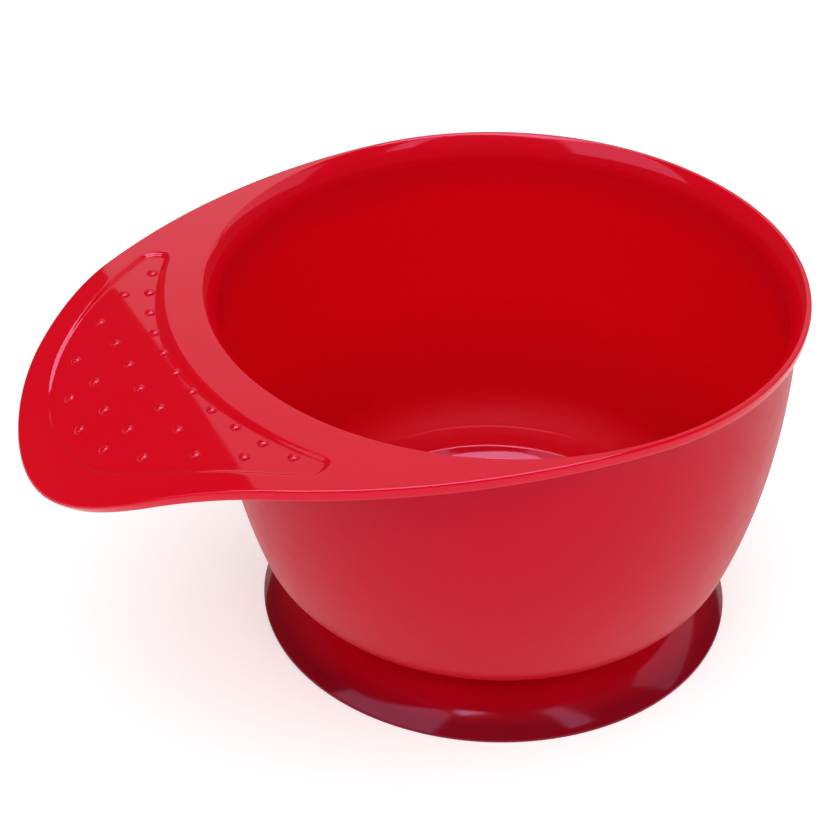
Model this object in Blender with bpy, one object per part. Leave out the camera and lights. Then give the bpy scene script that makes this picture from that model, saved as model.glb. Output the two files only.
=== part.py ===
"""Hair color bowl: a moulded bowl with a drooping grip on its rim, pressed onto a soft suction foot.

Metres, +Z up, table at z = 0. The grip points to -X and the model is the same on both sides of the
XZ plane. The origin is under the middle of the whole object, so the bowl's axis lies at x = AXIS_X.
"""
import math

import bmesh
import bpy
from mathutils import Matrix
from mathutils import Vector

SEGMENTS = 72               # sides of every turned shape
AXIS_X = 0.0207             # where the bowl's axis stands

# Rim
RIM_RADIUS = 0.0633         # outer edge of the lip
RIM_HEIGHT = 0.0814         # top of the lip
LIP_THICKNESS = 0.0024
LIP_FLAT_RADIUS = 0.0619    # inner edge of the lip's flat top
LIP_CHAMFER = 0.0003
MOUTH_ROUND = 0.003         # rounded inner edge of the mouth
LIP_STEPS = 6               # rings across the lip and the grip
MOUTH_STEPS = 4

# Wall and bottom
WALL = 0.0019
WALL_TOP_RADIUS = 0.0610    # outside of the wall, under the lip
WALL_CONTROL_RADIUS = 0.0615
WALL_CONTROL_HEIGHT = 0.046
WALL_STEPS = 7
BELLY_ROUND = 0.014         # outer corner between wall and bottom
BELLY_RADIUS = 0.039        # where that corner runs into the flat bottom
BELLY_END_ANGLE = -19.0     # degrees; where that corner runs into the wall
BELLY_OUTER_STEPS = 6
BELLY_INNER_STEPS = 5
BOTTOM_HEIGHT = 0.011       # underside of the bottom
FLOOR_THICKNESS = 0.002
WELL_RADIUS = 0.0365        # round well in the floor
WELL_DEPTH = 0.0022
WELL_COVE_WIDTH = 0.0045
WELL_COVE_STEPS = 3
WELL_SLOPE_WIDTH = 0.0035   # slope round the underside of the well

# Spigot ring under the bottom
SPIGOT_RADIUS = 0.0304
SPIGOT_WALL = 0.0026
SPIGOT_DROP = 0.0038

# Grip, seen from above: an arc round the tip and two long flank arcs, tangent to the rim circle
GRIP_REACH = 0.1047         # from the bowl's axis to the tip
GRIP_TIP_ROUND = 0.0390
GRIP_FLANK_ROUND = 0.1400
GRIP_SLOPE = 0.07           # fall of the surface for each unit away from the mouth
GRIP_BEND_START = 0.0711    # from there the surface also bends down on an arc
GRIP_BEND_RADIUS = 0.0451

# Crescent pad with its dots
PAD_INNER_RADIUS = 0.0705
PAD_MARGIN = 0.0065         # from the grip's edge to the pad's edge
PAD_HALF_ANGLE = 34.5
PAD_DEPTH = 0.0006
PAD_COLUMNS = 20
PAD_ROWS = 5
PAD_CUTTER_HEIGHT = 0.004
DOT_RADIUS = 0.0011
DOT_HEIGHT = 0.0006
DOT_PITCH_ANGLE = 5.87
DOT_SIDES = 8
DOT_RINGS = 6
DOT_COLUMNS = [             # radii of the dots, from the middle column outwards
    [0.0731, 0.0809, 0.0886, 0.0940],
    [0.0731, 0.0803, 0.0875, 0.0929],
    [0.0731, 0.0812, 0.0895],
    [0.0731, 0.0834],
    [0.0731, 0.0783],
    [0.0731],
]

# Suction foot
GAP = 0.0003                # between touching pieces
FOOT_RADIUS = 0.0513
FOOT_EDGE = 0.0007          # height of the thin edge
FOOT_SEAT_WIDTH = 0.0012    # flat ring that rests on the table
COLLAR_RADIUS = 0.035       # flat top of the collar
DOME_CONTROL_RADIUS = 0.0446
DOME_CONTROL_HEIGHT = 0.0076
DOME_STEPS = 8
CAVITY_HEIGHT = 0.0031
CAVITY_FLAT_RADIUS = 0.036
CAVITY_CONTROL_RADIUS = 0.045
CAVITY_CONTROL_HEIGHT = 0.0029
CAVITY_STEPS = 5


def clear_scene():
    for old in list(bpy.data.objects):
        bpy.data.objects.remove(old, do_unlink=True)


def plastic(name, color, roughness):
    material = bpy.data.materials.new(name)
    material.use_nodes = True
    shader = material.node_tree.nodes["Principled BSDF"]
    shader.inputs["Base Color"].default_value = (*color, 1.0)
    shader.inputs["Roughness"].default_value = roughness
    shader.inputs["Metallic"].default_value = 0.0
    return material


def arc(center, radius, start, end, steps):
    """Points (r, z) on an arc, with both ends; angles in degrees from +r towards +z."""
    points = []
    for step in range(steps + 1):
        angle = math.radians(start + (end - start) * step / steps)
        points.append((center[0] + radius * math.cos(angle), center[1] + radius * math.sin(angle)))
    return points


def bend(start, control, end, steps):
    """Points (r, z) on a quadratic curve, without its two ends."""
    points = []
    for step in range(1, steps):
        t = step / steps
        weights = ((1 - t) ** 2, 2 * t * (1 - t), t * t)
        point = [weights[0] * start[i] + weights[1] * control[i] + weights[2] * end[i] for i in (0, 1)]
        points.append(tuple(point))
    return points


def turned(profile):
    """A closed body turned from a profile that starts and ends on the axis."""
    mesh = bmesh.new()
    verts = [mesh.verts.new((radius, 0.0, height)) for radius, height in profile]
    edges = [mesh.edges.new(pair) for pair in zip(verts, verts[1:])]
    bmesh.ops.spin(
        mesh, geom=verts + edges, cent=(0, 0, 0), axis=(0, 0, 1), dvec=(0, 0, 0),
        angle=math.tau, steps=SEGMENTS, use_merge=True, use_duplicate=False)
    bmesh.ops.remove_doubles(mesh, verts=mesh.verts, dist=1e-6)
    bmesh.ops.recalc_face_normals(mesh, faces=mesh.faces)
    return mesh


def finish(mesh, name, material=None):
    """Turn a bmesh into a named object standing on the bowl's axis."""
    data = bpy.data.meshes.new(name)
    mesh.to_mesh(data)
    mesh.free()
    data.shade_smooth()
    data.set_sharp_from_angle(angle=math.radians(35))
    if material:
        data.materials.append(material)
    result = bpy.data.objects.new(name, data)
    result.location.x = AXIS_X
    bpy.context.scene.collection.objects.link(result)
    return result


def ray_to_circle(angle, center_x, center_y, radius):
    """Distance from the axis, along a ray, to the far side of a circle."""
    along = center_x * math.cos(angle) + center_y * math.sin(angle)
    return along + math.sqrt(along ** 2 - center_x ** 2 - center_y ** 2 + radius ** 2)


def grip_edge(angle, inset=0.0):
    """Distance from the axis to the grip's edge, or to a line inside it; angle 0 is the tip."""
    angle = abs(angle)
    tip_x = GRIP_REACH - GRIP_TIP_ROUND
    to_rim = GRIP_FLANK_ROUND - RIM_RADIUS
    to_tip = GRIP_FLANK_ROUND - GRIP_TIP_ROUND
    flank_x = (to_rim ** 2 - to_tip ** 2 + tip_x ** 2) / (2 * tip_x)
    flank_y = -math.sqrt(to_rim ** 2 - flank_x ** 2)
    tip_share = (GRIP_TIP_ROUND - inset) / to_tip
    tip_join = math.atan2(-flank_y * tip_share, tip_x + (tip_x - flank_x) * tip_share)
    rim_join = math.atan2(-flank_y, -flank_x)
    if angle < tip_join:
        return ray_to_circle(angle, tip_x, 0.0, GRIP_TIP_ROUND - inset)
    if angle < rim_join:
        return ray_to_circle(angle, flank_x, flank_y, GRIP_FLANK_ROUND - inset)
    return RIM_RADIUS - inset


def grip_height(x, y):
    """Height of the top surface of the lip and the grip."""
    outward = max(math.hypot(x, y) - LIP_FLAT_RADIUS, 0.0)
    along = max(-x - GRIP_BEND_START, 0.0)
    bend_drop = GRIP_BEND_RADIUS - math.sqrt(GRIP_BEND_RADIUS ** 2 - along ** 2)
    return RIM_HEIGHT - GRIP_SLOPE * outward - bend_drop


def grip_normal(x, y):
    step = 1e-5
    slope_x = (grip_height(x + step, y) - grip_height(x - step, y)) / (2 * step)
    slope_y = (grip_height(x, y + step) - grip_height(x, y - step)) / (2 * step)
    return Vector((-slope_x, -slope_y, 1.0)).normalized()


def grip_point(angle, radius, depth):
    """A point below the grip's top surface; angle is measured from the tip's direction."""
    x = -radius * math.cos(angle)
    y = -radius * math.sin(angle)
    return Vector((x, y, grip_height(x, y))) - depth * grip_normal(x, y)


def bowl_profile():
    belly_center = (BELLY_RADIUS, BOTTOM_HEIGHT + BELLY_ROUND)
    outer_corner = arc(belly_center, BELLY_ROUND, -90.0, BELLY_END_ANGLE, BELLY_OUTER_STEPS)
    inner_round = BELLY_ROUND - FLOOR_THICKNESS
    inner_corner = arc(belly_center, inner_round, BELLY_END_ANGLE, -90.0, BELLY_INNER_STEPS)
    lip_bottom = RIM_HEIGHT - LIP_THICKNESS
    wall_foot = outer_corner[-1]
    wall_top = (WALL_TOP_RADIUS, lip_bottom)
    wall_control = (WALL_CONTROL_RADIUS, WALL_CONTROL_HEIGHT)
    well_underside = BOTTOM_HEIGHT - WELL_DEPTH
    spigot_inner = SPIGOT_RADIUS - SPIGOT_WALL
    spigot_end = well_underside - SPIGOT_DROP

    points = [(0.0, well_underside), (spigot_inner, well_underside), (spigot_inner, spigot_end)]
    points += [(SPIGOT_RADIUS, spigot_end), (SPIGOT_RADIUS, well_underside)]
    points += [(WELL_RADIUS - WELL_SLOPE_WIDTH, well_underside), (WELL_RADIUS, BOTTOM_HEIGHT)]
    points += outer_corner
    points += bend(wall_foot, wall_control, wall_top, WALL_STEPS)
    points.append(wall_top)
    for step in range(LIP_STEPS + 1):
        radius = LIP_FLAT_RADIUS + (RIM_RADIUS - LIP_CHAMFER - LIP_FLAT_RADIUS) * step / LIP_STEPS
        points.append((radius, lip_bottom))
    points += [(RIM_RADIUS, lip_bottom + LIP_CHAMFER), (RIM_RADIUS, RIM_HEIGHT - LIP_CHAMFER)]
    for step in range(LIP_STEPS, 0, -1):
        radius = LIP_FLAT_RADIUS + (RIM_RADIUS - LIP_CHAMFER - LIP_FLAT_RADIUS) * step / LIP_STEPS
        points.append((radius, RIM_HEIGHT))

    mouth_center = (LIP_FLAT_RADIUS, RIM_HEIGHT - MOUTH_ROUND)
    mouth = arc(mouth_center, MOUTH_ROUND, 90.0, 180.0, MOUTH_STEPS)
    inner_control = (WALL_CONTROL_RADIUS - WALL, WALL_CONTROL_HEIGHT)
    points += mouth
    points += bend(mouth[-1], inner_control, inner_corner[0], WALL_STEPS)
    points += inner_corner
    cove_radius = (WELL_COVE_WIDTH ** 2 + WELL_DEPTH ** 2) / (2 * WELL_DEPTH)
    floor_height = BOTTOM_HEIGHT + FLOOR_THICKNESS
    well_center = (WELL_RADIUS - WELL_COVE_WIDTH, floor_height - WELL_DEPTH + cove_radius)
    cove_angle = math.degrees(math.asin(WELL_COVE_WIDTH / cove_radius))
    points += arc(well_center, cove_radius, cove_angle - 90.0, -90.0, WELL_COVE_STEPS)
    points.append((0.0, floor_height - WELL_DEPTH))
    return points


def pull_out_grip(mesh):
    """Stretch the turned lip out to the grip's edge and let it droop."""
    for vert in mesh.verts:
        radius = math.hypot(vert.co.x, vert.co.y)
        if radius <= LIP_FLAT_RADIUS + 1e-6:
            continue
        angle = math.atan2(-vert.co.y, -vert.co.x)
        share = (radius - LIP_FLAT_RADIUS) / (RIM_RADIUS - LIP_FLAT_RADIUS)
        reach = LIP_FLAT_RADIUS + share * (grip_edge(angle) - LIP_FLAT_RADIUS)
        vert.co = grip_point(angle, reach, RIM_HEIGHT - vert.co.z)


def pad_cutter():
    """The crescent space that is sunk into the grip's top surface."""
    mesh = bmesh.new()
    bmesh.ops.create_grid(mesh, x_segments=PAD_COLUMNS, y_segments=PAD_ROWS, size=0.5)
    half_angle = math.radians(PAD_HALF_ANGLE)
    for vert in mesh.verts:
        angle = vert.co.x * 2 * half_angle
        outer = grip_edge(angle, PAD_MARGIN)
        radius = PAD_INNER_RADIUS + (vert.co.y + 0.5) * (outer - PAD_INNER_RADIUS)
        vert.co = grip_point(angle, radius, PAD_DEPTH)
    raised = bmesh.ops.extrude_face_region(mesh, geom=mesh.faces[:])
    for item in raised["geom"]:
        if isinstance(item, bmesh.types.BMVert):
            item.co += PAD_CUTTER_HEIGHT * grip_normal(item.co.x, item.co.y)
    bmesh.ops.recalc_face_normals(mesh, faces=mesh.faces)
    return finish(mesh, "pad_cutter")


def grip_dots():
    """The raised dots, in columns that fan out from the bowl's axis."""
    mesh = bmesh.new()
    for column, radii in enumerate(DOT_COLUMNS):
        for side in ((1,) if column == 0 else (1, -1)):
            angle = math.radians(side * column * DOT_PITCH_ANGLE)
            for radius in radii:
                center = grip_point(angle, radius, PAD_DEPTH)
                normal = grip_normal(center.x, center.y)
                turn = Vector((0, 0, 1)).rotation_difference(normal).to_matrix().to_4x4()
                flatten = Matrix.Diagonal((1.0, 1.0, DOT_HEIGHT / DOT_RADIUS, 1.0))
                bmesh.ops.create_uvsphere(
                    mesh, u_segments=DOT_SIDES, v_segments=DOT_RINGS, radius=DOT_RADIUS,
                    matrix=Matrix.Translation(center) @ turn @ flatten)
    return finish(mesh, "grip_dots")


def add_boolean(target, operation, tool):
    tool.hide_render = True
    tool.display_type = "WIRE"
    modifier = target.modifiers.new(tool.name, "BOOLEAN")
    modifier.operation = operation
    modifier.object = tool
    modifier.solver = "EXACT"


def make_bowl_body():
    material = plastic("bowl_plastic", (0.46, 0.002, 0.008), 0.15)
    mesh = turned(bowl_profile())
    pull_out_grip(mesh)
    bowl = finish(mesh, "bowl_body", material)
    add_boolean(bowl, "DIFFERENCE", pad_cutter())
    add_boolean(bowl, "UNION", grip_dots())
    return bowl


def foot_profile():
    collar_top = BOTTOM_HEIGHT - WELL_DEPTH - GAP
    socket_radius = SPIGOT_RADIUS + GAP
    socket_floor = collar_top - SPIGOT_DROP
    edge_top = (FOOT_RADIUS, FOOT_EDGE)
    seat_inner = (FOOT_RADIUS - FOOT_SEAT_WIDTH, 0.0)
    collar_edge = (COLLAR_RADIUS, collar_top)
    cavity_edge = (CAVITY_FLAT_RADIUS, CAVITY_HEIGHT)

    points = [(0.0, CAVITY_HEIGHT), cavity_edge]
    cavity_control = (CAVITY_CONTROL_RADIUS, CAVITY_CONTROL_HEIGHT)
    points += bend(cavity_edge, cavity_control, seat_inner, CAVITY_STEPS)
    points += [seat_inner, (FOOT_RADIUS, 0.0), edge_top]
    points += bend(edge_top, (DOME_CONTROL_RADIUS, DOME_CONTROL_HEIGHT), collar_edge, DOME_STEPS)
    points += [collar_edge, (socket_radius, collar_top), (socket_radius, socket_floor)]
    points.append((0.0, socket_floor))
    return points


def make_suction_foot():
    material = plastic("foot_pvc", (0.30, 0.002, 0.010), 0.12)
    return finish(turned(foot_profile()), "suction_foot", material)


clear_scene()
make_suction_foot()
make_bowl_body()
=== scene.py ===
"""Hair color bowl: a red moulded bowl with a drooping dotted grip, pressed onto a soft suction foot.

Metres, +Z up. Turned shapes are made round x = 0 and then moved onto the bowl's axis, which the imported
frame gives. The grip points to -X.
"""

import math

import bmesh
import bpy
from mathutils import Matrix, Vector


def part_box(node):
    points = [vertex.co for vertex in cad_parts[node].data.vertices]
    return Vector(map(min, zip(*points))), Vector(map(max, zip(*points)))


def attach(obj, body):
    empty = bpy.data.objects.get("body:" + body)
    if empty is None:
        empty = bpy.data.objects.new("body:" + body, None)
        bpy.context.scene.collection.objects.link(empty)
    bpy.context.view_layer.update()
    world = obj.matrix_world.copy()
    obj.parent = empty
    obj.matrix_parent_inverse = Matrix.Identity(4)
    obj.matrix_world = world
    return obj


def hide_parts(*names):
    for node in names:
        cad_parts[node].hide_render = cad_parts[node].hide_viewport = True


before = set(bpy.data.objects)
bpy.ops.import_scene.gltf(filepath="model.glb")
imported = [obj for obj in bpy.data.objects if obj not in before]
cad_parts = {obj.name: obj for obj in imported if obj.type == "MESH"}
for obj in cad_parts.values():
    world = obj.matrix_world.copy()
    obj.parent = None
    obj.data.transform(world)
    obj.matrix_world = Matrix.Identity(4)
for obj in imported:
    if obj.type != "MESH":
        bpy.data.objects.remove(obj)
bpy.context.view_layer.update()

# ---------------------------------------------------------------------------------------------------
# Bowl body: one injection moulding in red polypropylene. It is the wall, the floor with its round well,
# the turned-out lip, and the grip with a sunk crescent pad and raised dots. The mould is polished at the
# rim, the grip and the well, blasted for the inner wall, and spark-eroded for the satin outside.
bowl_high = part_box("bowl_body")[1]
RIM_RADIUS = bowl_high.y
RIM_HEIGHT = bowl_high.z
AXIS_X = bowl_high.x - RIM_RADIUS
LIP_THICKNESS = 0.0024
LIP_TOP_ROUND = 0.0005      # rounded upper edge of the lip and the grip
LIP_UNDER_ROUND = 0.0004
LIP_ROOT_ROUND = 0.0012     # hollow fillet between the lip's underside and the wall
LIP_FLAT_WIDTH = 0.0010
LIP_FLAT_RADIUS = RIM_RADIUS - LIP_FLAT_WIDTH
MOUTH_EDGE_ROUND = 0.0003
FLARE_ROUND = 0.008         # the mouth opens in this curve up to the lip's crisp inner edge
FLARE_START_TILT = 40.0
POLISHED_FLOOR_RADIUS = 0.043

WALL = 0.0019
WALL_TOP_RADIUS = 0.0610
WALL_CONTROL = (0.0615, 0.046)
BELLY_ROUND = 0.014
BELLY_RADIUS = 0.039
BELLY_END_ANGLE = -19.0
BOTTOM_HEIGHT = 0.011
FLOOR_THICKNESS = 0.002
WELL_RADIUS = 0.0365
WELL_DEPTH = 0.0022
WELL_COVE_WIDTH = 0.0045
WELL_SLOPE_WIDTH = 0.0035   # under the floor
SPIGOT_RADIUS = 0.0304
SPIGOT_WALL = 0.0026
SPIGOT_DROP = 0.0038
SPIGOT_ROOT_ROUND = 0.0006
SPIGOT_END_ROUND = 0.0004
SPIGOT_BASE_ROUND = 0.0003
WELL_UNDER_ROUND = 0.0010
WELL_EDGE_ROUND = 0.0008
WELL_FIRST_POINT = 2        # the rounded edge takes the place of the cove's first points

GRIP_REACH = 0.1047
GRIP_TIP_ROUND = 0.0390
GRIP_FLANK_ROUND = 0.1400
GRIP_SLOPE = 0.07
GRIP_BEND_START = 0.0711
GRIP_BEND_RADIUS = 0.0451

PAD_INNER_RADIUS = 0.0705
PAD_MARGIN = 0.0065         # from the grip's edge, at the tip
PAD_END_MARGIN = 0.0046
PAD_HALF_ANGLE = math.radians(35.2)
PAD_DEPTH = 0.0006
PAD_SLOPE = 0.0010          # width of the slope down into the pad
PAD_CORNER = 0.0019
DOT_PITCH = math.radians(5.87)
DOT_RADIUS = 0.0012
DOT_HEIGHT = 0.0006
DOT_SINK = 0.00015
DOT_COLUMNS = [
    [0.0731, 0.0809, 0.0886, 0.0940],
    [0.0731, 0.0803, 0.0875, 0.0929],
    [0.0731, 0.0812, 0.0895],
    [0.0731, 0.0834],
    [0.0731, 0.0783],
    [0.0731],
]


def arc(center, radius, start, end, steps):
    """Points (r, z) on an arc, with both ends; angles in degrees from +r towards +z."""
    angles = [math.radians(start + (end - start) * step / steps) for step in range(steps + 1)]
    return [(center[0] + radius * math.cos(a), center[1] + radius * math.sin(a)) for a in angles]


def bend(start, control, end, steps):
    """Points (r, z) on a quadratic curve, without its two ends."""
    points = []
    for step in range(1, steps):
        t = step / steps
        first = Vector(start).lerp(control, t)
        points.append(tuple(first.lerp(Vector(control).lerp(end, t), t)))
    return points


def fillet(before, corner, after, radius, steps=5):
    """Points (r, z) of a rounded corner between two straight runs."""
    corner = Vector(corner)
    back = (Vector(before) - corner).normalized()
    onward = (Vector(after) - corner).normalized()
    half = back.angle(onward) / 2
    center = corner + (back + onward).normalized() * radius / math.sin(half)
    first = (corner + back * radius / math.tan(half) - center).normalized()
    last = (corner + onward * radius / math.tan(half) - center).normalized()
    return [tuple(center + first.slerp(last, step / steps) * radius) for step in range(steps + 1)]


MERGE_DISTANCE = 2e-6


def spin_profile(profile, spans):
    """A closed body turned from a profile that starts and ends on the axis.

    Each span is (start, end, wedges, steps), in degrees round the axis: one wedge is spun in that
    many steps and then repeated. Together the spans go once round.
    """
    mesh = bmesh.new()
    for start, end, wedges, steps in spans:
        turn = Matrix.Rotation(math.radians(start), 4, "Z")
        wedge_angle = math.radians(end - start) / wedges
        counts = len(mesh.verts), len(mesh.edges), len(mesh.faces)
        verts = [mesh.verts.new(turn @ Vector((radius, 0.0, height))) for radius, height in profile]
        edges = [mesh.edges.new(pair) for pair in zip(verts, verts[1:])]
        bmesh.ops.spin(
            mesh, geom=verts + edges, cent=(0, 0, 0), axis=(0, 0, 1), dvec=(0, 0, 0),
            angle=wedge_angle, steps=steps, use_merge=False, use_duplicate=False)
        if wedges > 1:
            wedge = mesh.verts[:][counts[0]:] + mesh.edges[:][counts[1]:] + mesh.faces[:][counts[2]:]
            bmesh.ops.spin(
                mesh, geom=wedge, cent=(0, 0, 0), axis=(0, 0, 1), dvec=(0, 0, 0),
                angle=wedge_angle * (wedges - 1), steps=wedges - 1, use_merge=False, use_duplicate=True)
    bmesh.ops.remove_doubles(mesh, verts=mesh.verts, dist=MERGE_DISTANCE)
    bmesh.ops.recalc_face_normals(mesh, faces=mesh.faces)
    return mesh


def ray_to_circle(angle, center_x, center_y, radius):
    """Distance from the axis, along a ray, to the far side of a circle."""
    along = center_x * math.cos(angle) + center_y * math.sin(angle)
    return along + math.sqrt(along ** 2 - center_x ** 2 - center_y ** 2 + radius ** 2)


# Seen from above, the grip is an arc round the tip and two flank arcs, tangent to it and to the rim.
TIP_X = GRIP_REACH - GRIP_TIP_ROUND
FLANK_X = ((GRIP_FLANK_ROUND - RIM_RADIUS) ** 2 - (GRIP_FLANK_ROUND - GRIP_TIP_ROUND) ** 2 + TIP_X ** 2)
FLANK_X /= 2 * TIP_X
FLANK_Y = -math.sqrt((GRIP_FLANK_ROUND - RIM_RADIUS) ** 2 - FLANK_X ** 2)


def grip_edge(angle, inset=0.0):
    """Distance from the axis to the grip's edge, or to a line inside it; angle 0 is the tip."""
    angle = abs(angle)
    tip_share = (GRIP_TIP_ROUND - inset) / (GRIP_FLANK_ROUND - GRIP_TIP_ROUND)
    tip_join = math.atan2(-FLANK_Y * tip_share, TIP_X + (TIP_X - FLANK_X) * tip_share)
    if angle < tip_join:
        return ray_to_circle(angle, TIP_X, 0.0, GRIP_TIP_ROUND - inset)
    if angle < math.atan2(-FLANK_Y, -FLANK_X):
        return ray_to_circle(angle, FLANK_X, FLANK_Y, GRIP_FLANK_ROUND - inset)
    return RIM_RADIUS - inset


def inside_edge(angle, radius):
    """How far a point of the grip is from its edge, square to the edge."""
    x = radius * math.cos(angle)
    y = abs(radius * math.sin(angle))
    past_join = (x - TIP_X) * -FLANK_Y - y * (TIP_X - FLANK_X)
    if past_join > 0:
        return GRIP_TIP_ROUND - math.hypot(x - TIP_X, y)
    return GRIP_FLANK_ROUND - math.hypot(x - FLANK_X, y - FLANK_Y)


def grip_height(x, y):
    """Height of the top surface of the lip and the grip, without the pad."""
    outward = max(math.hypot(x, y) - LIP_FLAT_RADIUS, 0.0)
    along = max(-x - GRIP_BEND_START, 0.0)
    bend_drop = GRIP_BEND_RADIUS - math.sqrt(GRIP_BEND_RADIUS ** 2 - along ** 2)
    return RIM_HEIGHT - GRIP_SLOPE * outward - bend_drop


def grip_normal(x, y):
    step = 1e-5
    slope_x = (grip_height(x + step, y) - grip_height(x - step, y)) / (2 * step)
    slope_y = (grip_height(x, y + step) - grip_height(x, y - step)) / (2 * step)
    return Vector((-slope_x, -slope_y, 1.0)).normalized()


def grip_point(angle, radius, depth):
    """A point below the grip's top surface; angle is measured from the tip's direction."""
    x = -radius * math.cos(angle)
    y = -radius * math.sin(angle)
    return Vector((x, y, grip_height(x, y))) - depth * grip_normal(x, y)


def ease(value):
    value = min(max(value, 0.0), 1.0)
    return value * value * (3 - 2 * value)


def pad_margin(angle):
    return PAD_MARGIN + (PAD_END_MARGIN - PAD_MARGIN) * min(abs(angle) / PAD_HALF_ANGLE, 1.0)


def pad_depth(angle, radius):
    """Depth of the crescent pad, which has rounded corners and sloping sides."""
    sides = [
        radius - PAD_INNER_RADIUS,
        inside_edge(angle, radius) - pad_margin(angle),
        (PAD_HALF_ANGLE - abs(angle)) * radius,
    ]
    short = [max(PAD_CORNER - side, 0.0) for side in sides]
    inward = min(min(sides), PAD_CORNER - math.hypot(*short)) if max(short) > 0 else min(sides)
    return PAD_DEPTH * ease(inward / PAD_SLOPE)


# Rings of the grip's top, as shares of the way from the mouth to the edge. The rings at the four
# inner marks follow the pad's outline and the foot of its slopes, and even out beyond its ends.
RING_MARKS = [0.0, 0.16, 0.30, 0.70, 0.84, 1.0]
RING_COUNTS = [8, 7, 18, 7, 6]
SLOPE_SHARE = 0.3           # the most of the pad's width that one slope takes, at its narrow ends
EVENING_ANGLE = math.radians(5.0)


def ring_shares():
    shares = [0.0]
    for low, high, count in zip(RING_MARKS, RING_MARKS[1:], RING_COUNTS):
        shares += [low + (high - low) * (step + 1) / count for step in range(count)]
    return shares


def ring_radius(angle, share):
    """Where a ring of the grip's top runs at an angle."""
    edge = grip_edge(angle, LIP_TOP_ROUND)
    even = [LIP_FLAT_RADIUS + mark * (edge - LIP_FLAT_RADIUS) for mark in RING_MARKS]
    outer = grip_edge(angle, pad_margin(angle))
    slope = min(PAD_SLOPE, (outer - PAD_INNER_RADIUS) * SLOPE_SHARE)
    beside_pad = [even[0], PAD_INNER_RADIUS, PAD_INNER_RADIUS + slope, outer - slope, outer, edge]
    away = ease((abs(angle) - PAD_HALF_ANGLE) / EVENING_ANGLE)
    if outer < PAD_INNER_RADIUS:
        away = 1.0
    marks = [a + (b - a) * away for a, b in zip(beside_pad, even)]
    for index in range(len(RING_COUNTS)):
        low, high = RING_MARKS[index], RING_MARKS[index + 1]
        if share <= high or index == len(RING_COUNTS) - 1:
            return marks[index] + (marks[index + 1] - marks[index]) * (share - low) / (high - low)


UNDERSIDE_STEPS = 12        # under the lip and the grip


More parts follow.
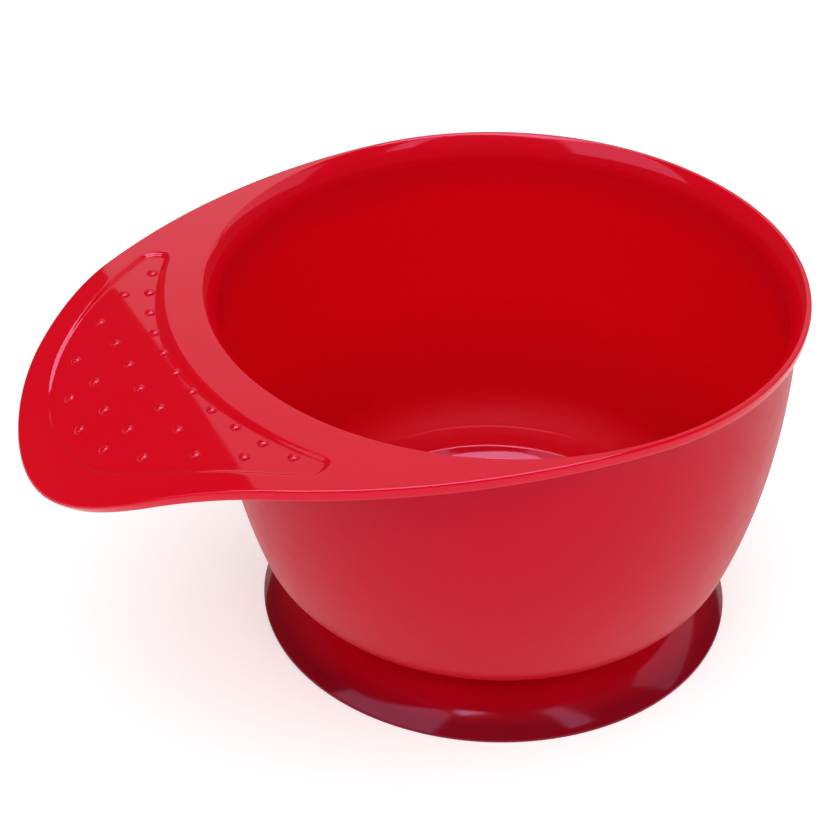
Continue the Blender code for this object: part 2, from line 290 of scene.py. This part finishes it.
def bowl_profile():
    """The bowl's section with the lip still turned; its rings keep the shares of the grip's rings."""
    belly_center = (BELLY_RADIUS, BOTTOM_HEIGHT + BELLY_ROUND)
    outer_corner = arc(belly_center, BELLY_ROUND, -90.0, BELLY_END_ANGLE, 16)
    inner_corner = arc(belly_center, BELLY_ROUND - FLOOR_THICKNESS, BELLY_END_ANGLE, -90.0, 14)
    lip_bottom = RIM_HEIGHT - LIP_THICKNESS
    wall_top = (WALL_TOP_RADIUS, lip_bottom)
    underside = BOTTOM_HEIGHT - WELL_DEPTH
    spigot_inner = SPIGOT_RADIUS - SPIGOT_WALL
    spigot_end = underside - SPIGOT_DROP
    slope_start = (WELL_RADIUS - WELL_SLOPE_WIDTH, underside)
    slope_end = (WELL_RADIUS, BOTTOM_HEIGHT)
    belly_start = (BELLY_RADIUS, BOTTOM_HEIGHT)
    root = (spigot_inner, underside)
    end_inner = (spigot_inner, spigot_end)
    end_outer = (SPIGOT_RADIUS, spigot_end)
    base = (SPIGOT_RADIUS, underside)
    share_end = RIM_RADIUS - LIP_TOP_ROUND

    points = [(0.0, underside)]
    points += fillet((0.0, underside), root, end_inner, SPIGOT_ROOT_ROUND, 3)
    points += fillet(root, end_inner, end_outer, SPIGOT_END_ROUND, 3)
    points += fillet(end_inner, end_outer, base, SPIGOT_END_ROUND, 3)
    points += fillet(end_outer, base, slope_start, SPIGOT_BASE_ROUND, 3)
    points += fillet(base, slope_start, slope_end, WELL_UNDER_ROUND, 3)
    points += fillet(slope_start, slope_end, belly_start, WELL_UNDER_ROUND, 3)
    points += outer_corner
    points += bend(outer_corner[-1], WALL_CONTROL, wall_top, 16)[:-1]
    points += fillet(WALL_CONTROL, wall_top, (RIM_RADIUS, lip_bottom), LIP_ROOT_ROUND, 4)
    points += [
        (LIP_FLAT_RADIUS + (share_end - LIP_FLAT_RADIUS) * step / UNDERSIDE_STEPS, lip_bottom)
        for step in range(UNDERSIDE_STEPS + 1)]
    points += arc(
        (RIM_RADIUS - LIP_UNDER_ROUND, lip_bottom + LIP_UNDER_ROUND), LIP_UNDER_ROUND, -90.0, 0.0, 4)
    points += arc(
        (share_end, RIM_HEIGHT - LIP_TOP_ROUND), LIP_TOP_ROUND, 0.0, 90.0, 6)[:-1]
    points += [
        (LIP_FLAT_RADIUS + (share_end - LIP_FLAT_RADIUS) * share, RIM_HEIGHT)
        for share in reversed(ring_shares())][:-1]
    edge_center = Vector((LIP_FLAT_RADIUS, RIM_HEIGHT - MOUTH_EDGE_ROUND))
    flare_turn = math.radians(90.0 + FLARE_START_TILT)
    toward_edge = Vector((math.cos(flare_turn), math.sin(flare_turn)))
    flare_center = edge_center + toward_edge * (MOUTH_EDGE_ROUND - FLARE_ROUND)
    points += arc(edge_center, MOUTH_EDGE_ROUND, 90.0, 90.0 + FLARE_START_TILT, 3)[:-1]
    flare = arc(flare_center, FLARE_ROUND, 90.0 + FLARE_START_TILT, 180.0, 12)
    points += flare
    points += bend(flare[-1], (WALL_CONTROL[0] - WALL, WALL_CONTROL[1]), inner_corner[0], 14)
    points += inner_corner
    cove_radius = (WELL_COVE_WIDTH ** 2 + WELL_DEPTH ** 2) / (2 * WELL_DEPTH)
    well_floor = BOTTOM_HEIGHT + FLOOR_THICKNESS - WELL_DEPTH
    cove_center = (WELL_RADIUS - WELL_COVE_WIDTH, well_floor + cove_radius)
    cove_angle = math.degrees(math.asin(WELL_COVE_WIDTH / cove_radius))
    cove = arc(cove_center, cove_radius, cove_angle - 90.0, -90.0, 10)
    well_edge = (WELL_RADIUS, BOTTOM_HEIGHT + FLOOR_THICKNESS)
    cove = cove[WELL_FIRST_POINT:]
    points += fillet(inner_corner[-1], well_edge, cove[0], WELL_EDGE_ROUND, 4)
    points += cove
    points.append((0.0, well_floor))
    return points


GLOSS, SATIN, SOFT = 0, 1, 2
FLARE_DEPTH = FLARE_ROUND * math.cos(math.radians(FLARE_START_TILT))
FACES_OUT = 0.05            # how far a face leans out from the axis to count as outside
FACES_DOWN = -0.3


def mark_finishes(mesh):
    """The outside and the bottom are satin, the inner wall is soft, and the rest keeps its gloss."""
    for face in mesh.faces:
        middle = face.calc_center_median()
        radius = middle.xy.length
        outward = face.normal.x * middle.x + face.normal.y * middle.y
        under_lip = middle.z < RIM_HEIGHT - LIP_THICKNESS + LIP_UNDER_ROUND / 3
        if under_lip and (outward > FACES_OUT * radius or face.normal.z < FACES_DOWN):
            face.material_index = SATIN
        elif radius > POLISHED_FLOOR_RADIUS and middle.z < RIM_HEIGHT - FLARE_DEPTH:
            face.material_index = SOFT
        else:
            face.material_index = GLOSS


def pull_out_grip(mesh):
    """Stretches the turned lip out to the grip's edge, lets it droop and sinks the pad."""
    share_end = RIM_RADIUS - LIP_TOP_ROUND
    for vert in mesh.verts:
        radius = vert.co.xy.length
        if radius <= LIP_FLAT_RADIUS + MERGE_DISTANCE / 2:
            continue
        angle = math.atan2(-vert.co.y, -vert.co.x)
        depth = RIM_HEIGHT - vert.co.z
        share = (radius - LIP_FLAT_RADIUS) / (share_end - LIP_FLAT_RADIUS)
        if radius > share_end:
            reach = grip_edge(angle, max(RIM_RADIUS - radius, 0.0))
        elif depth < LIP_THICKNESS / 2:
            reach = ring_radius(angle, share)
            if abs(angle) < PAD_HALF_ANGLE:
                depth += pad_depth(angle, reach)
        else:
            reach = LIP_FLAT_RADIUS + share * (grip_edge(angle, LIP_TOP_ROUND) - LIP_FLAT_RADIUS)
        vert.co = grip_point(angle, reach, depth)


def add_dots(mesh):
    """The raised dots, in columns that fan out from the bowl's axis."""
    dots = bmesh.new()
    for column, radii in enumerate(DOT_COLUMNS):
        for side in ((1,) if column == 0 else (1, -1)):
            for radius in radii:
                center = grip_point(side * column * DOT_PITCH, radius, PAD_DEPTH)
                normal = grip_normal(center.x, center.y)
                turn = Vector((0, 0, 1)).rotation_difference(normal).to_matrix().to_4x4()
                flatten = Matrix.Diagonal((1.0, 1.0, (DOT_HEIGHT + DOT_SINK) / DOT_RADIUS, 1.0))
                bmesh.ops.create_uvsphere(
                    dots, u_segments=20, v_segments=12, radius=DOT_RADIUS,
                    matrix=Matrix.Translation(center - DOT_SINK * normal) @ turn @ flatten)
    data = bpy.data.meshes.new("dots")
    dots.to_mesh(data)
    dots.free()
    mesh.from_mesh(data)
    bpy.data.meshes.remove(data)


def piece(mesh, name, materials):
    """Moves a bmesh onto the bowl's axis and makes it a smooth-shaded object at the origin."""
    bmesh.ops.translate(mesh, verts=mesh.verts, vec=(AXIS_X, 0, 0))
    data = bpy.data.meshes.new(name)
    mesh.to_mesh(data)
    mesh.free()
    data.shade_smooth()
    for material in materials:
        data.materials.append(material)
    made = bpy.data.objects.new(name, data)
    bpy.context.scene.collection.objects.link(made)
    return made


class Finish:
    """A Principled material that is built up node by node on Object coordinates."""

    def __init__(self, name):
        self.material = bpy.data.materials.new(name)
        self.material.use_nodes = True
        self.tree = self.material.node_tree
        self.shader = self.tree.nodes["Principled BSDF"]
        self.place = self.tree.nodes.new("ShaderNodeTexCoord").outputs["Object"]

    def node(self, kind, **inputs):
        """A new node; an input with a space in its name is given with an underscore."""
        made = self.tree.nodes.new(kind)
        for name, value in inputs.items():
            made.inputs[name.replace("_", " ")].default_value = value
        return made

    def noise(self, scale, detail=2.0, roughness=0.5):
        made = self.node("ShaderNodeTexNoise", Scale=scale, Detail=detail, Roughness=roughness)
        self.tree.links.new(self.place, made.inputs["Vector"])
        return made.outputs["Fac"]

    def span(self, value, start, end, low=0.0, high=1.0):
        """Maps start..end onto low..high."""
        made = self.node("ShaderNodeMapRange", From_Min=start, From_Max=end, To_Min=low, To_Max=high)
        self.tree.links.new(value, made.inputs["Value"])
        return made.outputs["Result"]

    def spread(self, value, low, high):
        """Maps the middle of a 0 to 1 pattern onto low..high."""
        return self.span(value, 0.3, 0.7, low, high)

    def height(self):
        made = self.tree.nodes.new("ShaderNodeSeparateXYZ")
        self.tree.links.new(self.place, made.inputs["Vector"])
        return made.outputs["Z"]

    def reach(self):
        """Distance from the bowl's axis."""
        shift = self.node("ShaderNodeMapping", Location=(-AXIS_X, 0.0, 0.0), Scale=(1.0, 1.0, 0.0))
        measure = self.tree.nodes.new("ShaderNodeVectorMath")
        measure.operation = "LENGTH"
        self.tree.links.new(self.place, shift.inputs["Vector"])
        self.tree.links.new(shift.outputs["Vector"], measure.inputs[0])
        return measure.outputs["Value"]

    def ramp(self, value, stops):
        """Runs through colours by a 0 to 1 value; each stop is (position, colour)."""
        made = self.tree.nodes.new("ShaderNodeValToRGB")
        marks = made.color_ramp.elements
        while len(marks) < len(stops):
            marks.new(0.5)
        for mark, (position, shade) in zip(marks, stops):
            mark.position = position
            mark.color = (*shade, 1.0)
        self.tree.links.new(value, made.inputs["Fac"])
        return made.outputs["Color"]

    def mottle(self, factor, first, second):
        """Mixes two colours by a pattern; each is a plain one or a ramp's."""
        made = self.tree.nodes.new("ShaderNodeMix")
        made.data_type = "RGBA"
        for socket, shade in ((made.inputs["A"], first), (made.inputs["B"], second)):
            if isinstance(shade, tuple):
                socket.default_value = (*shade, 1.0)
            else:
                self.tree.links.new(shade, socket)
        self.tree.links.new(factor, made.inputs["Factor"])
        return made.outputs["Result"]

    def color(self, shades):
        self.tree.links.new(shades, self.shader.inputs["Base Color"])

    def sheen(self, level):
        """The strength of its reflections."""
        self.shader.inputs["Specular IOR Level"].default_value = level
        self.shader.inputs["Specular Tint"].default_value = SHEEN_TINT

    def roughness(self, value):
        self.tree.links.new(value, self.shader.inputs["Roughness"])

    def bump(self, height, distance, below=None):
        made = self.node("ShaderNodeBump", Strength=1.0, Distance=distance)
        self.tree.links.new(height, made.inputs["Height"])
        if below is not None:
            self.tree.links.new(below, made.inputs["Normal"])
        self.tree.links.new(made.outputs["Normal"], self.shader.inputs["Normal"])
        return made.outputs["Normal"]


SHEEN_TINT = (1.0, 0.55, 1.0, 1.0)          # the clear red plastic colours what it mirrors head on
RED = (0.62, 0.0012, 0.0105)
RED_DEEP = (0.60, 0.0011, 0.0095)
RED_OUTSIDE_PAINTED_SHADE = (0.49, 0.0012, 0.0120)        # painted shade: a darker red that stands in for less light on the outside
RED_OUTSIDE_DEEP_PAINTED_SHADE = (0.47, 0.0011, 0.0110)
RED_INSIDE_PAINTED_LIGHT = (0.74, 0.0010, 0.0065)         # painted light: a lighter red that stands in for light coming through the thin wall into the inside
# painted shade: a deeper red for the bottom of the inner wall
RED_LOW_PAINTED_SHADE = (0.60, 0.0009, 0.0060)


def gloss_red():
    """Polished side of the moulding: a faint waviness and slightly uneven gloss."""
    finish = Finish("bowl_gloss")
    finish.sheen(0.30)
    finish.color(finish.mottle(finish.noise(60.0), RED, RED_DEEP))
    finish.roughness(finish.spread(finish.noise(140.0, detail=3.0), low=0.07, high=0.10))
    finish.bump(finish.noise(70.0, detail=1.0), distance=0.00002)
    return finish.material


def satin_red_painted_shade():
    """Spark-eroded side of the moulding: a fine even grain, on a red painted darker as shade."""
    finish = Finish("bowl_satin_painted_shade")
    finish.sheen(0.16)
    # painted shade: the outside's red is darker than the bowl's own red
    finish.color(finish.mottle(finish.noise(60.0), RED_OUTSIDE_PAINTED_SHADE, RED_OUTSIDE_DEEP_PAINTED_SHADE))
    finish.roughness(finish.spread(finish.noise(220.0, detail=3.0), low=0.36, high=0.42))
    waves = finish.bump(finish.noise(60.0, detail=1.0), distance=0.00004)
    finish.bump(finish.noise(3200.0), distance=0.000012, below=waves)
    return finish.material


def soft_red_painted_light_and_shade():
    """Inner wall: blasted fine, so that it hardly mirrors anything; painted light makes it lighter up the
    wall and painted shade makes it deeper in colour low down.
    """
    finish = Finish("bowl_soft_painted_light_and_shade")
    finish.sheen(0.04)
    up_wall_painted_light_share = finish.span(finish.height(), start=BOTTOM_HEIGHT, end=RIM_HEIGHT - FLARE_DEPTH)
    # painted light and shade: lighter over the middle of the inner wall, darker low down
    finish.color(finish.ramp(up_wall_painted_light_share, [
        (0.2, RED_LOW_PAINTED_SHADE),
        (0.5, RED_INSIDE_PAINTED_LIGHT),
        (0.85, RED_INSIDE_PAINTED_LIGHT),
        (1.0, RED),
    ]))
    finish.roughness(finish.spread(finish.noise(180.0, detail=3.0), low=0.42, high=0.50))
    finish.bump(finish.noise(2600.0), distance=0.000006)
    return finish.material


# Round the grip the wedges are finer than on the rest of the way round.
FINE_HALF_ANGLE = 39.0
bowl_mesh = spin_profile(bowl_profile(), [
    (180.0 - FINE_HALF_ANGLE, 180.0 + FINE_HALF_ANGLE, 13, 20),
    (180.0 + FINE_HALF_ANGLE, 540.0 - FINE_HALF_ANGLE, 12, 19),
])
mark_finishes(bowl_mesh)
pull_out_grip(bowl_mesh)
add_dots(bowl_mesh)
bowl = piece(bowl_mesh, "bowl", [gloss_red(), satin_red_painted_shade(), soft_red_painted_light_and_shade()])
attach(bowl, "bowl")
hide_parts("bowl_body")

# ---------------------------------------------------------------------------------------------------
# Suction foot: a soft PVC cup, poured in one piece, with a thin lip on the table, a domed top, a hollow
# underside and a collar that grips the spigot ring under the bowl by its stretch. It keeps the gloss of
# its mould.
foot_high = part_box("suction_foot")[1]
FOOT_RADIUS = foot_high.y
COLLAR_TOP = foot_high.z
SOCKET_GAP = 0.0003         # round the spigot
FOOT_EDGE = 0.0007
FOOT_SEAT_WIDTH = 0.0012
COLLAR_RADIUS = 0.035
DOME_CONTROL = (0.0446, 0.0076)
CAVITY_EDGE = (0.036, 0.0031)
CAVITY_CONTROL = (0.045, 0.0029)
FOOT_SEAT_ROUND = 0.0002
FOOT_EDGE_ROUND = 0.0003
COLLAR_ROUND = 0.0010
SOCKET_EDGE_ROUND = 0.0003


def foot_profile():
    socket_radius = SPIGOT_RADIUS + SOCKET_GAP
    socket_floor = COLLAR_TOP - SPIGOT_DROP
    seat_inner = (FOOT_RADIUS - FOOT_SEAT_WIDTH, 0.0)
    seat_outer = (FOOT_RADIUS, 0.0)
    edge_top = (FOOT_RADIUS, FOOT_EDGE)
    collar_edge = (COLLAR_RADIUS, COLLAR_TOP)
    socket_edge = (socket_radius, COLLAR_TOP)

    points = [(0.0, CAVITY_EDGE[1]), CAVITY_EDGE]
    points += bend(CAVITY_EDGE, CAVITY_CONTROL, seat_inner, 14)
    points.append(seat_inner)
    points += fillet(seat_inner, seat_outer, edge_top, FOOT_SEAT_ROUND, 3)
    points += fillet(seat_outer, edge_top, DOME_CONTROL, FOOT_EDGE_ROUND, 4)
    points += bend(edge_top, DOME_CONTROL, collar_edge, 24)[1:-1]
    points += fillet(DOME_CONTROL, collar_edge, socket_edge, COLLAR_ROUND, 4)
    points += fillet(collar_edge, socket_edge, (socket_radius, socket_floor), SOCKET_EDGE_ROUND, 3)
    points += [(socket_radius, socket_floor), (0.0, socket_floor)]
    return points


FOOT_RED = (0.62, 0.001, 0.010)
FOOT_RED_DEEP = (0.56, 0.001, 0.009)
# painted shade: the foot's red darkens towards its edge, which sits under the bowl
FOOT_EDGE_PAINTED_SHADE = (0.20, 0.0008, 0.006)
FOOT_SHADE_FROM = 0.040
FOOT_SHADE_DARKEST_AT = 0.0495


def foot_red_with_edge_shade():
    """Soft PVC: high gloss with the slow waves of a poured part, and painted shade that darkens it
    towards its thin edge.
    """
    finish = Finish("foot_gloss_edge_shade")
    finish.sheen(0.26)
    # painted shade towards the edge
    out_into_edge_shade = finish.span(finish.reach(), start=FOOT_SHADE_FROM, end=FOOT_SHADE_DARKEST_AT)
    shades = finish.ramp(out_into_edge_shade, [(0.0, FOOT_RED), (0.3, FOOT_RED), (1.0, FOOT_EDGE_PAINTED_SHADE)])
    deep_reds_with_edge_shade = finish.ramp(out_into_edge_shade, [(0.0, FOOT_RED_DEEP), (1.0, FOOT_EDGE_PAINTED_SHADE)])
    finish.color(finish.mottle(finish.noise(50.0), shades, deep_reds_with_edge_shade))
    finish.roughness(finish.spread(finish.noise(120.0, detail=3.0), low=0.08, high=0.13))
    finish.bump(finish.noise(90.0, detail=1.0), distance=0.00005)
    return finish.material


foot = piece(spin_profile(foot_profile(), [(0.0, 360.0, 15, 16)]), "foot", [foot_red_with_edge_shade()])
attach(foot, "foot")
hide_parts("suction_foot")

# ---------------------------------------------------------------------------------------------------
# Studio: a white table, faintly lit from within, a large soft lamp overhead with a bright room round it,
# white cards that only the gloss picks up, and the camera.
TABLE_HALF_WIDTH = 4.0
TABLE_WHITE = (0.80, 0.80, 0.80)
TABLE_WHITE_LIGHT = (0.81, 0.81, 0.81)
TABLE_GLOW = 0.40
table_mesh = bmesh.new()
bmesh.ops.create_grid(table_mesh, x_segments=1, y_segments=1, size=TABLE_HALF_WIDTH)
table_data = bpy.data.meshes.new("table")
table_mesh.to_mesh(table_data)
table_mesh.free()
table = bpy.data.objects.new("table", table_data)
bpy.context.scene.collection.objects.link(table)
table_finish = Finish("table_white")
table_finish.shader.inputs["Roughness"].default_value = 0.9
table_finish.shader.inputs["Specular IOR Level"].default_value = 0.0
table_finish.color(table_finish.mottle(table_finish.noise(3.0), TABLE_WHITE, TABLE_WHITE_LIGHT))
table_finish.shader.inputs["Emission Color"].default_value = (1.0, 1.0, 1.0, 1.0)
table_finish.shader.inputs["Emission Strength"].default_value = TABLE_GLOW
table_data.materials.append(table_finish.material)


STUDIO_CENTER = Vector((AXIS_X, 0, 0))


def lamp(name, place, facing, width, height, brightness):
    """A flat lamp, its place measured from the foot; brightness 1 looks as bright as a white page."""
    data = bpy.data.lights.new(name, "AREA")
    data.shape = "RECTANGLE"
    data.size = width
    data.size_y = height
    data.energy = brightness * math.pi * width * height
    made = bpy.data.objects.new(name, data)
    made.rotation_mode = "QUATERNION"
    made.location = STUDIO_CENTER + place
    made.rotation_quaternion = (-facing).to_track_quat("Z", "Y")
    made.visible_camera = False
    bpy.context.scene.collection.objects.link(made)
    return made


def direction(azimuth, elevation=0.0):
    """Azimuth is measured from +X towards +Y, in degrees."""
    turn, rise = math.radians(azimuth), math.radians(elevation)
    return Vector((math.cos(turn) * math.cos(rise), math.sin(turn) * math.cos(rise), math.sin(rise)))


CARD_DISTANCE = 1.3


def card(name, start, end, low, high, brightness):
    """An upright white board that only shows in gloss, from one azimuth and elevation to another."""
    out = direction((start + end) / 2)
    bottom = CARD_DISTANCE * math.tan(math.radians(low))
    top = CARD_DISTANCE * math.tan(math.radians(high))
    width = 2 * CARD_DISTANCE * math.tan(math.radians(abs(end - start) / 2))
    place = out * CARD_DISTANCE + Vector((0, 0, (bottom + top) / 2))
    lamp(name, place, -out, width, top - bottom, brightness).visible_diffuse = False


CAMERA_AZIMUTH = -119.0
LAMP_DISTANCE = 1.6
front_top = direction(CAMERA_AZIMUTH, 62.0)
overhead = lamp("overhead", front_top * LAMP_DISTANCE, -front_top, width=1.5, height=1.5, brightness=1.25)
overhead.visible_glossy = False
down = Vector((0, 0, -1))
ceiling_place = Vector((0.02, 0.03, LAMP_DISTANCE))
ceiling = lamp("ceiling", ceiling_place, down, width=1.2, height=1.1, brightness=9.0)
ceiling.visible_diffuse = False
card("back_card", start=81.0, end=20.0, low=22.0, high=62.0, brightness=1.05)
card("left_card", start=-145.5, end=-196.0, low=30.0, high=66.0, brightness=2.3)
card("right_card", start=-63.5, end=-76.5, low=43.0, high=66.0, brightness=2.7)
card("side_card", start=-30.0, end=18.0, low=26.0, high=50.0, brightness=1.2)

ROOM_LIGHT = 0.85
ROOM_IN_GLOSS = 0.08
world = bpy.data.worlds.new("studio")      # gloss sees a dim room, and past the table it is plain white
world.use_nodes = True
world_tree = world.node_tree
room = world_tree.nodes["Background"]
room.inputs["Color"].default_value = (1.0, 1.0, 1.0, 1.0)
ray = world_tree.nodes.new("ShaderNodeLightPath")
share = world_tree.nodes.new("ShaderNodeMapRange")
share.inputs["To Min"].default_value = ROOM_LIGHT
share.inputs["To Max"].default_value = ROOM_IN_GLOSS
world_tree.links.new(ray.outputs["Is Glossy Ray"], share.inputs["Value"])
backdrop = world_tree.nodes.new("ShaderNodeMath")
backdrop.operation = "MAXIMUM"
world_tree.links.new(share.outputs["Result"], backdrop.inputs[0])
world_tree.links.new(ray.outputs["Is Camera Ray"], backdrop.inputs[1])
world_tree.links.new(backdrop.outputs["Value"], room.inputs["Strength"])
bpy.context.scene.world = world
bpy.context.scene.view_settings.view_transform = "Standard"

CAMERA_ELEVATION = 39.06
CAMERA_DISTANCE = 0.5921
CAMERA_AIM = Vector((0.01508, 0.02916, 0.03063))
CAMERA_ROLL = 0.744
CAMERA_LENS = 114.26
camera_data = bpy.data.cameras.new("camera")
camera_data.lens = CAMERA_LENS
camera_data.sensor_width = 36.0
camera_data.clip_start = 0.01
camera = bpy.data.objects.new("camera", camera_data)
camera.location = STUDIO_CENTER + CAMERA_DISTANCE * direction(CAMERA_AZIMUTH, CAMERA_ELEVATION)
look = (CAMERA_AIM - camera.location).to_track_quat("-Z", "Y")
camera.rotation_mode = "QUATERNION"
camera.rotation_quaternion = look @ Matrix.Rotation(math.radians(CAMERA_ROLL), 3, "Z").to_quaternion()
bpy.context.scene.collection.objects.link(camera)
bpy.context.scene.camera = camera
